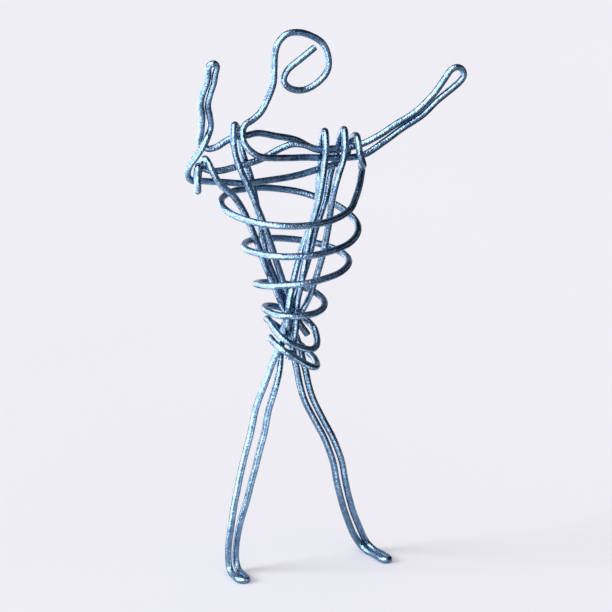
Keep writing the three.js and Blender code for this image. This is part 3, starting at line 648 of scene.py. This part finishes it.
# %% Lay the board and set up the cards
BOARD_SIDE, BELOW_THE_SOLES = 6, 0.00002
CHEST = Vector((-0.005, 0.0, 0.075))
RIGHT_HAND = Vector((0.025, 0.0, 0.115))
card("floor_board", board, by_view(0, 0, -BELOW_THE_SOLES), UP, BOARD_SIDE, BOARD_SIDE, hidden=False)
# The bright and soft cards below glow by themselves and light nothing; each paints a highlight into the
# wires.
card("card_right", brown_felt, by_view(0.085, 0.01, 0.043), -ACROSS, width=0.32, height=0.086)
card("card_far_right", brown_felt, by_view(0.3, -0.25, 0.07), -ACROSS, width=0.6, height=0.14)
card("card_left", soft_glow_card, by_view(-0.1, -0.01, 0.065), ACROSS, width=0.28, height=0.13)
card("card_low_left", bright_glow_card, by_view(-0.05, 0.03, 0.0175), ACROSS, width=0.06, height=0.035)
card("card_low_back", brown_felt, by_view(-0.05, -0.03, 0.02), NEARER, width=0.05, height=0.04)
card("card_low_front", soft_glow_card, by_view(0.008, 0.025, 0.0175), -NEARER, width=0.024, height=0.035)
card("card_front", bright_glow_card, by_view(-0.04, 0.13, 0.0625), -NEARER, width=0.12, height=0.075)
card_over("card_over_right", brown_felt, CHEST, by_view(0.62, 0, 0.78), 0.33, width=0.5, height=0.32)
card_over("card_over_back", brown_felt, CHEST, by_view(0.15, -0.6, 0.79), 0.33, width=0.28, height=0.5)
card_over("card_over_left", bright_glow_card, RIGHT_HAND, by_view(-0.36, 0.54, 0.76), 0.35,
          width=0.8, height=0.32)
print("stage:", ", ".join(cards))

# %% [markdown]
# ## Light
# One soft light, far off on the left like a big window, casts the shadows to the right of the feet. A
# panel close by would light the floor more on one side, so it is a sun lamp, which is even everywhere,
# with a disc as wide as the window looks from here, which makes the shadows soft. It is a little cooler
# than the room, so the shadows look slightly warm. The room gives the rest of the light on the floor, and
# shows as a plain grey-blue in the wires, between the cards.

# %% The window
TO_WINDOW = by_view(-1.1, 0.25, 0.6)
WINDOW_STRENGTH, ROOM_STRENGTH = 1.9, 0.745
window = bpy.data.lights.new("window_left", "SUN")
window.angle = math.radians(27)
window.energy = WINDOW_STRENGTH
window.color = linear("#f4f8ff")[:3]
holder = bpy.data.objects.new("window_left", window)
holder.rotation_euler = turned(TO_WINDOW)
bpy.context.scene.collection.objects.link(holder)
print("window as wide as", round(math.degrees(window.angle)), "degrees")

# %% The room
room = bpy.data.worlds.new("PaleRoom")
bpy.context.scene.world = room
room.use_nodes = True
tree = room.node_tree
tree.nodes.clear()
path = add(tree, "ShaderNodeLightPath")
seen = add(tree, "ShaderNodeMath", {
    0: path.outputs["Is Camera Ray"], 1: path.outputs["Is Glossy Ray"]}, operation="MAXIMUM")
seen = add(tree, "ShaderNodeMath", {
    0: seen.outputs["Value"], 1: path.outputs["Is Transmission Ray"]}, operation="MAXIMUM")
light = add(tree, "ShaderNodeBackground", {"Color": linear("#fbf9f8"), "Strength": ROOM_STRENGTH})
shown = add(tree, "ShaderNodeBackground", {"Color": linear("#b6bfcb"), "Strength": 1.0})
both = add(tree, "ShaderNodeMixShader", {
    0: seen.outputs["Value"], 1: light.outputs["Background"], 2: shown.outputs["Background"]})
add(tree, "ShaderNodeOutputWorld", {"Surface": both.outputs["Shader"]})
print("room strength", ROOM_STRENGTH, "and window strength", WINDOW_STRENGTH)

# %% [markdown]
# ## Camera
# A short lens close by would make the nearer hand and foot look larger. The picture shows almost nothing
# of that, so the camera stands far off with a long lens.

# %% The camera
AIM = Vector((-0.00491, 0.00025, 0.0652))
DISTANCE, PICTURE_WIDTH = 1.5, 0.142
SENSOR_MM = 36
away = math.cos(ELEVATION) * NEARER + math.sin(ELEVATION) * UP
lens = bpy.data.cameras.new("camera")
lens.sensor_width = SENSOR_MM
lens.lens = SENSOR_MM * DISTANCE / PICTURE_WIDTH
camera = bpy.data.objects.new("camera", lens)
camera.location = AIM + DISTANCE * away
camera.rotation_euler = (-away).to_track_quat("-Z", "Y").to_euler()
bpy.context.scene.collection.objects.link(camera)
bpy.context.scene.camera = camera
bpy.context.scene.view_settings.view_transform = "Standard"
print("lens", round(lens.lens), "mm")
